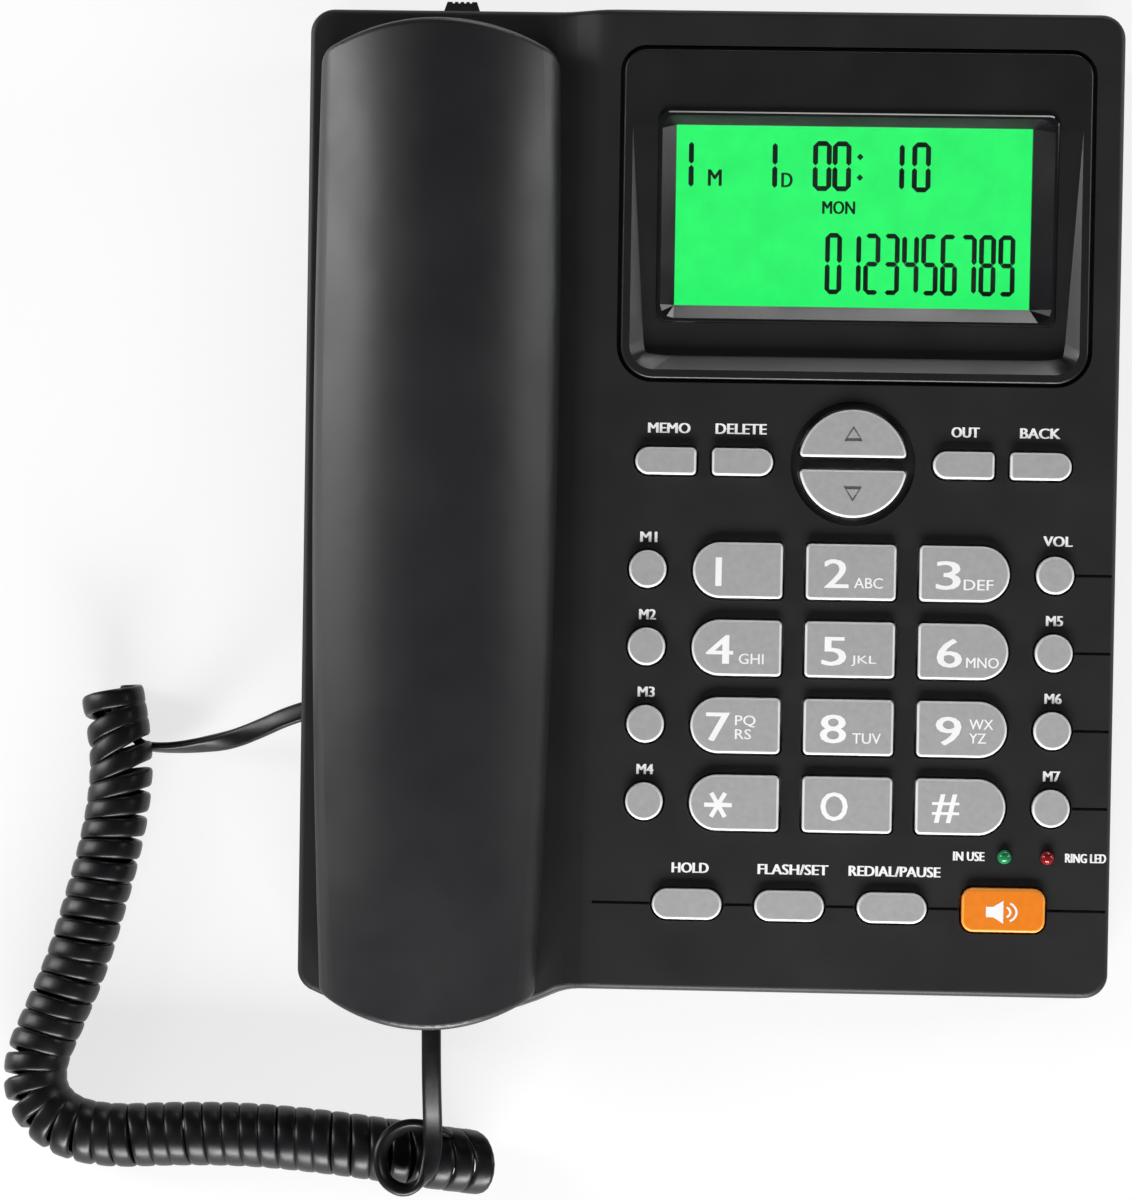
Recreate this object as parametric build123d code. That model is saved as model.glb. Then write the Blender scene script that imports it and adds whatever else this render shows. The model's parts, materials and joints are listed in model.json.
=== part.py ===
from build123d import *
import math
import os

# A corded desk telephone with a caller display. The console is a wedge that stands on rubber feet,
# its deck slopes down to the user, and the handset lies in a cradle along the left side.
# +X is to the user's right, +Y to the rear, +Z up. The origin is on the table, under the middle
# of the phone. All sizes are in millimetres.

# ---- driving dimensions ------------------------------------------------------------------------
base_width = 170.0
deck_length = 204.8          # measured along the slope
deck_slope = 7.0             # degrees
deck_mid_height = 36.5       # deck height above the table at its middle
console_y = 3.65             # the console sits this far behind the origin, as the handset overhangs
corner_radius = 5.0
wall = 2.2
deck_thickness = 2.4
split_height = 12.0          # parting line between the two casings
seam = 0.2
bottom_height = 1.5          # underside of the lower casing
foot_radius = 6.0
foot_sink = 0.5
edge_round = 1.2

plateau_drop = 3.0           # the cradle side of the deck lies this much lower
slope_top_u = -23.0
slope_foot_u = -31.0
slope_round = 12.0

handset_u = -57.1
handset_rear = 98.8
handset_front = -110.6
handset_crown = 16.0         # crown height above the deck plane
handset_skirt = -1.0         # lower rim of the back shell
handset_wall = 2.2
handset_plate = 1.4          # flange of the front shell, between the back shell and the cradle
grip_inset = 3.8             # the front shell's body is this much slimmer than the handset
grip_bottom = -6.0
cup_bottom = -15.4
cradle_clearance = 0.6
cradle_floor = -7.0
well_floor = -15.8
ear_cup = (44.0, 42.0, 65.5)      # width, length, place along the slope
mouth_cup = (40.0, 34.0, -84.0)
plunger_travel = 4.0

key_gap = 0.5
key_travel = 1.0
key_rise = 1.6
key_flange = 1.2
pad_u = 30.0
dial_pitch_u = 23.6
dial_pitch_v = 16.2
dial_top_v = -14.3
dial_key = (18.7, 11.6)
side_key_radius = 3.9
side_key_offset = 42.4
function_v = 8.3
function_key = (12.7, 5.7)
nav_radius = 11.25
nav_ring = 13.0
nav_bar = 2.7
low_row_v = -84.3
low_key = (14.5, 6.3)
low_pitch = 21.4
speaker_key = (17.3, 9.1)
speaker_key_u = 62.9
led_v = -73.2
led_radius = 1.5
microphone_x = 5.0
microphone_z = 17.2

bezel_size = (98.2, 69.4)
bezel_centre = (29.8, 59.8)
bezel_gap = 0.4
window_size = (83.2, 43.8)
window_centre = (30.0, 59.3)
view_size = (74.2, 37.6)
view_shift = (-0.8, 0.3)     # the display sits a little off the middle of its window
panel_top_v = 78.0           # from here the display panel sinks below the deck ...
panel_foot_v = 30.7          # ... to its deepest line here
panel_sink = 3.0
panel_rim = 1.9

jack_v = -43.7
jack_height = 15.6
line_jack_x = 45.0
handset_jack_n = 2.6         # middle of the handset's socket above the deck plane
ringer_x = -53.4
ringer_z = 34.0
ringer_head_top = 9.6        # the knob's head reaches up to just under the rear edge
hook_v = 34.0
ringer_travel = 2.5

screw_spots = [(76, -95), (76, 95), (-26, -95), (-26, 95), (-57, 14)]
foot_spots = [(-70, -84), (70, -84), (-70, 84), (70, 84)]
bracket_slot = (4.4, 12.0, 83.0)  # width, length and spacing of the wall-bracket slots
bracket_x = -6.0
speaker_spot = (30.0, 48.0)

cord_width = 4.1
coil_diameter = 13.6

# Routes of the cord, as points in the frame of the whole phone.
base_tail_route = [
    (-84.6, -40.05, 15.6), (-90.4, -40.6, 15.2), (-96.4, -42.9, 11.4), (-102.6, -45.6, 6.9),
    (-109.2, -47.4, 3.8), (-115.8, -48.0, 2.6), (-121.8, -47.7, 2.4),
]
coil_route = [
    (-127.9, -36.8, 6.95), (-125.5, -47.8, 6.95), (-125.6, -59.0, 6.95), (-127.6, -71.0, 6.95),
    (-130.6, -83.0, 6.95), (-133.8, -95.0, 6.95), (-138.6, -106.8, 6.95), (-142.4, -116.2, 6.95),
    (-141.4, -124.2, 6.95), (-135.4, -129.6, 6.95), (-126.0, -131.5, 6.95), (-112.0, -130.6, 6.95),
    (-96.0, -130.3, 6.95), (-80.0, -131.3, 6.95), (-64.0, -132.5, 6.95), (-52.0, -133.5, 6.95),
    (-44.8, -134.0, 6.95),
]
handset_tail_route = [
    (-56.1, -106.0, 25.6), (-56.0, -113.6, 24.6), (-55.9, -121.6, 21.4), (-55.8, -128.0, 16.6),
]

deck = Plane(
    origin=(0, console_y, deck_mid_height),
    x_dir=(1, 0, 0),
    z_dir=(0, -math.sin(math.radians(deck_slope)), math.cos(math.radians(deck_slope))),
)
console_depth = deck_length * math.cos(math.radians(deck_slope))
front_y = console_y - console_depth / 2
rear_y = console_y + console_depth / 2
display_tilt = math.degrees(math.atan(panel_sink / (panel_top_v - panel_foot_v)))
display = deck * Pos(pad_u, panel_top_v, 0) * Rot(display_tilt, 0, 0)
window_v = window_centre[1] - panel_top_v
jack_y = console_y + jack_v
hook_y = console_y + hook_v + 2.8


def write(solid, node):
    """Saves one node's solid or group of solids."""
    solid.label = node
    export_step(solid, f"parts/{node}.step")


def slab(sketch, low, high):
    """A flat solid of that plan between two heights."""
    return Pos(0, 0, low) * extrude(sketch, high - low)


# ---- console casings ---------------------------------------------------------------------------
def base_plan(inset=0.0):
    """Plan of the console: a rounded rectangle whose front bulges under the handset's end."""
    tongue_radius = 59.4
    tongue_front = front_y - 7.0
    tongue = Pos(handset_u, tongue_front + tongue_radius) * Circle(tongue_radius)
    band = Pos(-50, front_y + 10) * Rectangle(base_width - 100, 60)
    box = Pos(0, console_y) * Rectangle(base_width, console_depth)
    plan = box + (tongue & band)
    corners = [v for v in plan.vertices() if abs(abs(v.X) - base_width / 2) < 0.1]
    plan = fillet(corners, corner_radius)
    joins = [v for v in plan.vertices() if -31 < v.X < -26 and v.Y < front_y + 1]
    plan = fillet(joins, 14.0)
    return offset(plan, -inset) if inset else plan


def under_deck(drop=0.0):
    """Everything under the deck, its soft slope and the lower cradle side, or that much below them."""
    edge = Polyline(
        (-150, -plateau_drop), (slope_foot_u, -plateau_drop), (slope_top_u, 0), (150, 0),
        (150, -200), (-150, -200), close=True,
    )
    profile = make_face(edge)
    bends = [v for v in profile.vertices() if slope_foot_u - 1 < v.X < slope_top_u + 1 and v.Y > -10]
    soft = Plane.XZ * fillet(bends, slope_round)
    return deck * Pos(0, 150, -drop) * extrude(soft, 300)


def handset_plan(inset=0.0):
    """Outline of the handset from above: slim barrel sides and a shallow arc at each end."""
    rear_half, middle_half, front_half = 24.7, 25.5, 22.5
    rear_v, front_v = handset_rear - 6.8, handset_front + 6.8
    right = ThreePointArc((rear_half, rear_v), (middle_half, 8), (front_half, front_v))
    left = ThreePointArc((-rear_half, rear_v), (-middle_half, 8), (-front_half, front_v))
    rear = ThreePointArc((-rear_half, rear_v), (0, handset_rear), (rear_half, rear_v))
    front = ThreePointArc((-front_half, front_v), (0, handset_front), (front_half, front_v))
    plan = make_face([right, rear, left, front])
    plan = fillet(plan.vertices().filter_by(lambda v: v.Y > 0), 4.5)
    plan = fillet(plan.vertices().filter_by(lambda v: v.Y < -100), 3.0)
    plan = offset(plan, -inset) if inset else plan
    return Pos(handset_u, 0) * plan


def cup_plan(cup, grow=0.0):
    width, length, place = cup
    return Pos(handset_u, place) * RectangleRounded(width + 2 * grow, length + 2 * grow, 9)


def cradle_cut(grow=0.0):
    """The channel and the two wells that the handset lies in, or that space grown by a wall."""
    inset = grip_inset - cradle_clearance - grow
    channel_front = handset_front + 4.8 - grow
    short = Pos(handset_u, channel_front + 150) * Rectangle(200, 300)
    channel = slab(handset_plan(inset) & short, cradle_floor - grow, 40)
    wells = [slab(cup_plan(c, cradle_clearance + grow), well_floor - grow, 0)
             for c in (ear_cup, mouth_cup)]
    return deck * (channel + wells[0] + wells[1])


def outer_block():
    """The casing's full outer shape above the table, with its top edges rounded."""
    block = slab(base_plan(), 0, 80) & under_deck()
    edges = [e for e in block.edges() if is_rim(e)]
    return fillet(edges, edge_round)


def is_rim(edge):
    """True for the edges round the top of the walls."""
    start, end = edge.position_at(0), edge.position_at(1)
    middle = edge.position_at(0.5)
    upright = abs(start.X - end.X) + abs(start.Y - end.Y) < 0.01
    inside = abs(start.X - end.X) < 0.01 and -40 < middle.X < -15 and edge.length > 100
    return middle.Z > 15 and not upright and not inside


def bezel_plan(inset=0.0):
    """Rounded outline of the display surround, with wider corners at its lower side."""
    plan = Rectangle(*bezel_size)
    plan = fillet(plan.vertices().filter_by(lambda v: v.Y > 0), 5.0)
    plan = fillet(plan.vertices().filter_by(lambda v: v.Y < 0), 7.3)
    plan = offset(plan, -inset) if inset else plan
    return Pos(*bezel_centre) * plan


def posts(block):
    """Screw posts under the deck, as long as the space there lets them be."""
    made = [Pos(x, y + console_y, 40 + split_height - 1.8) * Cylinder(3.3, 80) for x, y in screw_spots]
    bores = [Pos(x, y + console_y, 24.2) * Cylinder(1.5, 28) for x, y in screw_spots]
    solid = (block & made[0]) + [block & p for p in made[1:]]
    return solid - bores


def socket_openings():
    """Openings in the left and rear walls for the two sockets, across the parting line."""
    cord = Pos(-base_width / 2, jack_y, jack_height - 0.1) * Box(12, 10.4, 9.4)
    line = Pos(line_jack_x, rear_y, jack_height - 0.1) * Box(13.0, 12, 9.4)
    return cord + line


def grooves():
    """Fine engraved lines beside the side keys and through the lowest row."""
    line, depth = 0.6, 0.5
    right = base_width / 2 - 0.8
    cuts = []
    for row in range(4):
        start = pad_u + side_key_offset + side_key_radius
        v = dial_top_v - row * dial_pitch_v
        cuts.append(Pos((start + right) / 2, v, 0) * Box(right - start, line, 2 * depth))
    cuts.append(Pos((slope_top_u + right) / 2, low_row_v, 0) * Box(right - slope_top_u, line, 2 * depth))
    return deck * (cuts[0] + cuts[1:])


def upper_casing():
    block = outer_block() - cradle_cut()
    inside = slab(base_plan(wall), -1, 80) & under_deck(deck_thickness)
    inside = inside - cradle_cut(wall)
    shell = block - inside + posts(block)
    shell = shell - Pos(0, 0, split_height + seam - 50) * Box(400, 400, 100)
    shell = shell - deck * slab(bezel_plan(-bezel_gap), -20, 5)
    through = [deck * slab(offset(key_plan(k), key_gap), -8, 5) for k in keys]
    shell = shell - through
    shell = shell - deck * slab(Pos(pad_u, function_v) * Circle(nav_ring), -1.4, 5)
    leds = [deck * Pos(u, led_v, 0) * Cylinder(led_radius + 0.1, 30) for u in led_spots.values()]
    hook = deck * Pos(handset_u, hook_v, cradle_floor) * Box(9.2, 5.6, 12)
    mic = Pos(microphone_x, front_y, microphone_z) * Rot(90, 0, 0) * Cylinder(0.9, 12)
    ringer = Pos(ringer_x, rear_y, ringer_z) * Box(5.2 + 2 * ringer_travel + 0.6, 12, 3.6)
    return shell - leds - hook - mic - ringer - socket_openings() - grooves()


def lower_casing():
    floor_top = bottom_height + wall
    tray = slab(base_plan(), bottom_height, split_height)
    tray = fillet(tray.faces().sort_by(Axis.Z)[0].edges(), 1.0)
    tray = tray - slab(base_plan(wall), floor_top, 60)
    lip = slab(base_plan(wall + 0.15), floor_top, split_height + 1.6)
    lip = lip - slab(base_plan(wall + 1.2), 0, 60)
    gaps = [Pos(-base_width / 2, jack_y, jack_height) * Box(12, 14, 10),
            Pos(line_jack_x, rear_y, jack_height) * Box(17, 12, 10)]
    tray = tray + (lip - gaps)
    for x, y in screw_spots:
        boss = Pos(x, y + console_y, (bottom_height + 10) / 2) * Cylinder(4.2, 10 - bottom_height)
        bore = Pos(x, y + console_y, 10) * Cylinder(1.7, 30)
        head = Pos(x, y + console_y, 6 - 10) * Cylinder(3.2, 20)
        tray = tray + boss - bore - head
    tray = tray + [Pos(handset_u + dx, hook_y, 9.2) * Cylinder(2.6, 11.6) for dx in (-4, 4)]
    feet = [Pos(x, y + console_y, bottom_height) * Cylinder(foot_radius + 0.1, 2 * foot_sink)
            for x, y in foot_spots]
    width, length, spacing = bracket_slot
    slots = [Pos(bracket_x, console_y + side * spacing / 2, 0) * slab(
        SlotOverall(length, width, rotation=90), -5, 8) for side in (-1, 1)]
    return tray - feet - slots - socket_openings() - speaker_grille()


def speaker_grille():
    """Slots in the floor under the loudspeaker, as long as the cone is wide there."""
    reach, pitch, slot_width = 17.0, 4.4, 2.0
    cuts = []
    for i in range(-3, 4):
        half = math.sqrt(reach**2 - (i * pitch) ** 2)
        spot = Pos(speaker_spot[0], console_y + speaker_spot[1] + i * pitch)
        cuts.append(slab(spot * SlotOverall(2 * half, slot_width), 0, 6))
    return cuts


def base_screws():
    """Pan-head screws, driven from below into the posts."""
    made = []
    for x, y in screw_spots:
        head = Pos(0, 0, 4.8) * Cylinder(2.8, 2.2)
        cross = Pos(0, 0, 3.8) * (Box(3.6, 0.8, 1.6) + Box(0.8, 3.6, 1.6))
        shank = Pos(0, 0, 12.9) * Cylinder(1.45, 14)
        made.append(Pos(x, y + console_y, 0) * (head - cross + shank))
    return Compound(made)


def rubber_feet():
    """Four round feet, glued in shallow recesses."""
    made = []
    for x, y in foot_spots:
        height = bottom_height + foot_sink
        foot = Pos(x, y + console_y, height / 2) * Cylinder(foot_radius, height)
        made.append(fillet(foot.edges().sort_by(Axis.Z)[0], 0.6))
    return Compound(made)


def ballast_plate():
    """Steel weight that keeps the light phone from sliding."""
    plate = Pos(handset_u, console_y - 26, bottom_height + wall + 3.1) * Box(46, 38, 6)
    return fillet(plate.edges().filter_by(Axis.Z), 3.0)


# ---- display -----------------------------------------------------------------------------------
def display_bezel():
    """Surround whose panel sinks towards the user, between sloping side walls."""
    frame = slab(bezel_plan(bezel_gap), -6.0, 0)
    frame = fillet(frame.faces().sort_by(Axis.Z)[-1].edges(), 0.5)
    frame = deck * (frame + slab(bezel_plan(-1.0), -6.0, -deck_thickness - seam))
    post_x, post_y = screw_spots[1]
    post = Pos(post_x, post_y + console_y, 0) * Cylinder(3.6, 200)
    frame = frame - (post & under_deck(deck_thickness - seam))
    rim = slab(bezel_plan(bezel_gap + panel_rim), 0, 0.01).faces().sort_by(Axis.Z)[0]
    funnel = deck * (extrude(-rim if rim.normal_at().Z > 0 else rim, 4.0, taper=45))
    above_panel = display * Pos(0, 0, 50) * Box(300, 300, 100)
    opening = display * Pos(0, window_v, 0) * slab(RectangleRounded(
        window_size[0] + 0.2, window_size[1] + 0.2, 2.1), -30, 30)
    return frame - (funnel & above_panel) - opening


def display_window():
    """Gloss window: a lipped frame whose mitred bevels run down to the clear pane."""
    body = slab(RectangleRounded(*window_size, 2.0), -3.6, 0.5)
    body = fillet(body.faces().sort_by(Axis.Z)[-1].edges(), 0.3)
    mouth = Pos(0, 0, 0.5) * Rectangle(window_size[0] - 1.6, window_size[1] - 1.6)
    foot = Pos(*view_shift, -2.4) * Rectangle(*view_size)
    return display * Pos(0, window_v, 0) * (body - loft([foot, mouth]))


def lcd_glass():
    plate = Pos(view_shift[0], window_v + view_shift[1], -4.9) * Box(78.6, 41.6, 2.2)
    return display * plate


def backlight_panel():
    """Light guide behind the glass, with the lamp strip's step at its right end."""
    place = Pos(view_shift[0], window_v + view_shift[1], -7.6)
    guide = place * Box(78.0, 41.0, 2.6)
    lamp = place * Pos(39.5, 0, -1) * Box(3.0, 30, 4.0)
    return display * (guide + lamp)


# ---- keys --------------------------------------------------------------------------------------
def round_end_plan(width, height, side):
    """A key with one full-round end and one square end; side is -1 for round at the left."""
    cap = Pos(side * (width - height) / 2, 0) * Circle(height / 2)
    body = Pos(-side * height / 4, 0) * Rectangle(width - height / 2, height)
    plan = cap + body
    square = [v for v in plan.vertices() if abs(v.X + side * width / 2) < 0.01]
    return fillet(square, 1.0)


def nav_plan(side):
    """One half of the round rocker, above or below its bar."""
    window = Pos(0, side * (nav_bar / 2 + 20)) * Rectangle(60, 40)
    plan = Circle(nav_radius) & window
    return fillet(plan.vertices(), 0.8)


def key_plan(name):
    shape, u, v = keys[name]
    return Pos(u, v) * plans[shape]


def key_table():
    """Every key's shape and place on the deck."""
    table = {}
    names = ["1", "2", "3", "4", "5", "6", "7", "8", "9", "star", "0", "hash"]
    for i, name in enumerate(names):
        column, row = i % 3, i // 3
        spot = (pad_u + (column - 1) * dial_pitch_u, dial_top_v - row * dial_pitch_v)
        table[f"key_{name}"] = (("dial_left", "dial_middle", "dial_right")[column], *spot)
    for side, column in ((-1, ["m1", "m2", "m3", "m4"]), (1, ["volume", "m5", "m6", "m7"])):
        for row, name in enumerate(column):
            spot = (pad_u + side * side_key_offset, dial_top_v - row * dial_pitch_v)
            table[f"key_{name}"] = ("round", *spot)
    for i, name in enumerate(["memo", "delete", "out", "back"]):
        offset_u = (-39, -23, 23, 39)[i]
        table[f"key_{name}"] = (("end_left", "end_right")[i % 2], pad_u + offset_u, function_v)
    table["key_up"] = ("nav_up", pad_u, function_v)
    table["key_down"] = ("nav_down", pad_u, function_v)
    for i, name in enumerate(["hold", "flash", "redial"]):
        table[f"key_{name}"] = ("stadium", pad_u - 33.1 + i * low_pitch, low_row_v)
    table["key_speaker"] = ("speaker", speaker_key_u, low_row_v)
    return table


plans = {
    "dial_left": round_end_plan(*dial_key, -1),
    "dial_middle": RectangleRounded(*dial_key, 1.0),
    "dial_right": round_end_plan(*dial_key, 1),
    "round": Circle(side_key_radius),
    "end_left": round_end_plan(*function_key, -1),
    "end_right": round_end_plan(*function_key, 1),
    "nav_up": nav_plan(1),
    "nav_down": nav_plan(-1),
    "stadium": SlotOverall(*low_key),
    "speaker": RectangleRounded(*speaker_key, 2.4),
}
keys = key_table()
led_spots = {"led_in_use": 63.0, "led_ring": 71.9}
flange_top = -deck_thickness - 0.3
flange_bottom = flange_top - 1.0
stem_bottom = flange_bottom - 1.2


def key(name):
    """A key cap with a flange that stops under the deck and a stem over its rubber dome."""
    plan = key_plan(name)
    cap = slab(plan, flange_top, key_rise)
    cap = fillet(cap.faces().sort_by(Axis.Z)[-1].edges(), 0.6)
    flange = slab(offset(plan, 0.9 if "nav" in keys[name][0] else key_flange), flange_bottom, flange_top)
    stem = slab(offset(plan, -1.0), stem_bottom, flange_bottom)
    return deck * (cap + flange + stem)


def key_mat():
    """Silicone sheet with a contact dome under each key, low enough to clear a pressed stem."""
    sheet_top = stem_bottom - key_travel - 1.4
    area = Pos(30, -38.5) * RectangleRounded(98, 106, 3)
    mat = slab(area, sheet_top - 0.8, sheet_top)
    for shape, u, v in keys.values():
        shift = {"nav_up": 5.6, "nav_down": -5.6}.get(shape, 0)
        dome = Pos(u, v + shift, sheet_top + 0.6) * Cone(2.6, 1.8, 1.2)
        mat = mat + dome
    return deck * (mat - lamp_holes(2.2))


def lamp_holes(radius):
    return [Pos(u, led_v, -9) * Cylinder(radius, 6) for u in led_spots.values()]


def main_board():
    """Circuit board under the key mat, with its chips and the display ribbon's connector."""
    top = stem_bottom - key_travel - 2.4
    board = slab(Pos(30, -38.5) * RectangleRounded(99, 107, 2), top - 1.6, top)
    under = top - 1.6
    chips = [(30, -20, 14, 14, 1.6), (0, -30, 9, 5, 1.6), (58, -40, 10, 6, 1.6), (30, 9, 40, 4, 3.0),
             (-8, -60, 6, 6, 5.5), (62, -70, 6, 6, 5.5)]
    for u, v, width, length, height in chips:
        board = board + Pos(u, v, under - height / 2) * Box(width, length, height)
    return deck * board


def led(name):
    """A 3 mm lamp with a domed head, from the board up to just above the deck."""
    seat = stem_bottom - key_travel - 2.4
    head = slab(Circle(led_radius), seat + 0.1, 0.2)
    dome = Pos(0, 0, 0.2) * Sphere(led_radius)
    collar = slab(Circle(1.9), seat + 0.1, seat + 1.1)
    return deck * Pos(led_spots[name], led_v, 0) * (head + dome + collar)


# ---- switches, sockets and sound ---------------------------------------------------------------
def hook_plunger():
    """Plunger in the cradle that the handset holds down."""
    top = grip_bottom - 0.3
    stem = slab(Rectangle(8.6, 5.0), -17.0, top)
    stem = fillet(stem.faces().sort_by(Axis.Z)[-1].edges(), 0.5)
    stop_top = cradle_floor - wall - plunger_travel - 0.3
    stop = slab(Rectangle(12.0, 8.0), stop_top - 1.1, stop_top)
    return deck * Pos(handset_u, hook_v, 0) * (stem + stop)


def hook_switch():
    """Small snap switch under the plunger, with its lever."""
    body = slab(Rectangle(13.0, 6.4), -25.4, -19.0)
    lever = slab(Rectangle(12.0, 3.6), -18.0, -17.4)
    hinge = Pos(-5.4, 0) * slab(Rectangle(1.2, 3.6), -19.0, -17.4)
    return deck * Pos(handset_u, hook_v, 0) * (body + lever + hinge)


def socket(width, height, depth, mouth):
    """A modular socket along +X: a block with a plug cavity open at its -X end."""
    nose = Pos(0.9, 0, 0) * Box(1.8, mouth, 8.6)
    block = Pos(1.8 + 7.5, 0, 0) * Box(15, mouth + 2.4, 9.4)
    cavity = Pos(depth / 2, 0, 0) * Box(depth, width, height)
    return nose + block - cavity


def handset_jack():
    return Pos(-base_width / 2 + 0.6, jack_y, jack_height) * socket(7.9, 6.9, 12.5, 9.8)


def line_jack():
    place = Pos(line_jack_x, rear_y - 0.6, jack_height) * Rot(0, 0, -90)
    return place * socket(9.9, 6.9, 12.5, 12.4)


def modular_plug():
    """A four-way plug along +X, with its latch and a cord entry at -X."""
    body = Pos(5.8, 0, -0.3) * Box(11.6, 7.6, 5.2)
    latch = Pos(6.5, 0, 2.75) * Box(9.0, 3.0, 0.7)
    root = Pos(10.2, 0, 2.3) * Box(1.6, 3.0, 0.6)
    return body + latch + root


def plug_base():
    return Pos(-base_width / 2 + 0.7, jack_y, jack_height) * modular_plug()


def ringer_knob():
    """Slide knob of the ringer switch, wider at the wall than at its ribbed tip."""
    outer = Polyline((-3.8, 0.15), (3.8, 0.15), (3.1, 2.2), (-3.1, 2.2), close=True)
    head = slab(make_face(outer), -2.5, ringer_head_top)
    ribs = [Pos(x, 2.2, 0) * Box(0.5, 0.6, 30) for x in (-1.8, -0.6, 0.6, 1.8)]
    neck = Pos(0, -1.9, 0) * Box(5.0, 4.2, 3.0)
    carrier = Pos(0, -3.4, 0) * Box(8.0, 1.6, 5.0)
    return Pos(ringer_x, rear_y, ringer_z) * (head + neck + carrier - ribs)


def ringer_switch():
    """Slide switch body behind the rear wall, on its own small bracket."""
    body = Pos(0, -7.2, -0.2) * Box(16.0, 4.0, 6.0)
    pins = [Pos(x, -9.8, -0.2) * Box(0.8, 2.2, 0.8) for x in (-4, 0, 4)]
    return Pos(ringer_x, rear_y, ringer_z) * (body + pins)


def loudspeaker():
    """Round loudspeaker facing the floor: a flared basket with the magnet on top."""
    profile = Polyline((0, 9.0), (7.0, 4.4), (18.0, 1.4), (18.0, 0), (20.0, 0), (20.0, 2.2),
                       (11.0, 8.6), (11.0, 13.0), (0, 13.0), close=True)
    body = revolve(Plane.XZ * make_face(profile), Axis.Z)
    return Pos(speaker_spot[0], console_y + speaker_spot[1], bottom_height + wall + 0.1) * body


def hands_free_microphone():
    radius, depth = 3.0, 2.7
    capsule = Rot(90, 0, 0) * (Cylinder(radius, depth) - Pos(0, 0, depth / 2) * Cylinder(2.0, 0.4))
    return Pos(microphone_x, front_y + wall + 0.2 + depth / 2, microphone_z) * capsule


# ---- handset -----------------------------------------------------------------------------------
def arch(place, half, crown, low, skin=0.0):
    """Cross-section of the back shell at one place along it: shoulders and a flatter crown."""
    half, crown, base = half - skin, crown - skin, 1.0
    shoulder = 8.0 - skin
    rise = crown - base
    crown_radius = ((half - shoulder) ** 2 / (rise - shoulder) + shoulder + rise) / 2
    lean = math.atan2(half - shoulder, crown_radius - rise)
    join = (crown_radius * math.sin(lean), crown - crown_radius * (1 - math.cos(lean)))
    bend = lean + (math.pi / 2 - lean) / 2
    middle = (half - shoulder + shoulder * math.sin(bend), base + shoulder * math.cos(bend))
    right = ThreePointArc(join, middle, (half, base))
    top = ThreePointArc(join, (0, crown), (-join[0], join[1]))
    left = ThreePointArc((-half, base), (-middle[0], middle[1]), (-join[0], join[1]))
    sides = Polyline((half, base), (half, low), (-half, low), (-half, base))
    section = make_face([right, top, left, *sides.edges()])
    return Pos(handset_u, place, 0) * Rot(90, 0, 0) * section


def back_volume(skin=0.0):
    """The back shell's arched shape, lower towards both ends."""
    stations = [(112, 25.2, 0.78), (70, 25.5, 0.94), (10, 25.8, 1.0), (-50, 25.0, 0.95), (-112, 22.8, 0.76)]
    low = handset_skirt - (5 if skin else 0)
    sections = [arch(v, half, handset_crown * share, low, skin) for v, half, share in stations]
    return loft(sections)


def handset_back_shell():
    outer = back_volume() & slab(handset_plan(), handset_skirt, 40)
    rims = [e for e in outer.edges() if e.center().Z > handset_skirt + 2.5
            and (e.center().Y > handset_rear - 14 or e.center().Y < handset_front + 14)]
    outer = fillet(rims, 1.4)
    inner = back_volume(handset_wall) & slab(handset_plan(handset_wall), -10, 40)
    shell = outer - inner
    cord_hole = Pos(handset_u, handset_front, handset_jack_n - 0.4) * Box(8.2, 8, 8.4)
    return deck * (shell - cord_hole)


def handset_front_shell():
    """The side with the ear and mouth cups, closed to the back shell by an inner lip."""
    skin = 2.0
    inset = grip_inset
    channel = Pos(handset_u, handset_front + 5.6 + 150) * Rectangle(200, 300)
    grip = slab(handset_plan(inset) & channel, grip_bottom, handset_skirt - seam)
    outer = grip
    for cup in (ear_cup, mouth_cup):
        block = slab(cup_plan(cup), cup_bottom, handset_skirt - seam)
        outer = outer + fillet(block.faces().sort_by(Axis.Z)[0].edges(), 2.5)
    hollow = slab(handset_plan(inset + skin) & Pos(0, skin) * channel, grip_bottom + skin, 10)
    for cup in (ear_cup, mouth_cup):
        hollow = hollow + slab(cup_plan(cup, -skin), cup_bottom + skin, 10)
    plate_top = handset_skirt - seam
    plate = slab(handset_plan(0.4), plate_top - handset_plate, plate_top)
    lip = slab(handset_plan(handset_wall + 0.2), plate_top - 0.5, handset_skirt + 1.6)
    lip = lip - slab(handset_plan(handset_wall + 1.6), plate_top, 20)
    lip = lip - Pos(handset_u, handset_front, plate_top + 4) * Box(8.4, 30, 8)
    shell = outer + plate + lip - hollow
    holes = []
    for cup, rings in ((ear_cup, ((0, 1), (4.5, 6), (9.0, 12))), (mouth_cup, ((0, 1), (3.6, 6)))):
        for radius, count in rings:
            for i in range(count):
                turn = 2 * math.pi * i / count
                spot = (handset_u + radius * math.cos(turn), cup[2] + radius * math.sin(turn))
                holes.append(Pos(*spot, cup_bottom) * Cylinder(0.9, 8))
    return deck * (shell - holes)


def handset_receiver():
    """Ear capsule over the ear cup's holes, with its terminals on top."""
    can = slab(Circle(16.0), 0, 5.0) + slab(Circle(11.0), 5.0, 7.5)
    tags = [Pos(x, 0, 8.2) * Box(1.2, 4.0, 1.4) for x in (-4, 4)]
    return deck * Pos(handset_u, ear_cup[2], cup_bottom + 2.2) * (can + tags)


def handset_microphone():
    can = slab(Circle(4.85), 0, 4.5) + slab(Circle(6.2), 4.5, 5.5)
    return deck * Pos(handset_u, mouth_cup[2], cup_bottom + 2.2) * can


def plug_handset():
    place = Pos(handset_u, handset_front + 1.0, handset_jack_n) * Rot(0, 0, 90)
    return deck * place * modular_plug()


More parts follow.
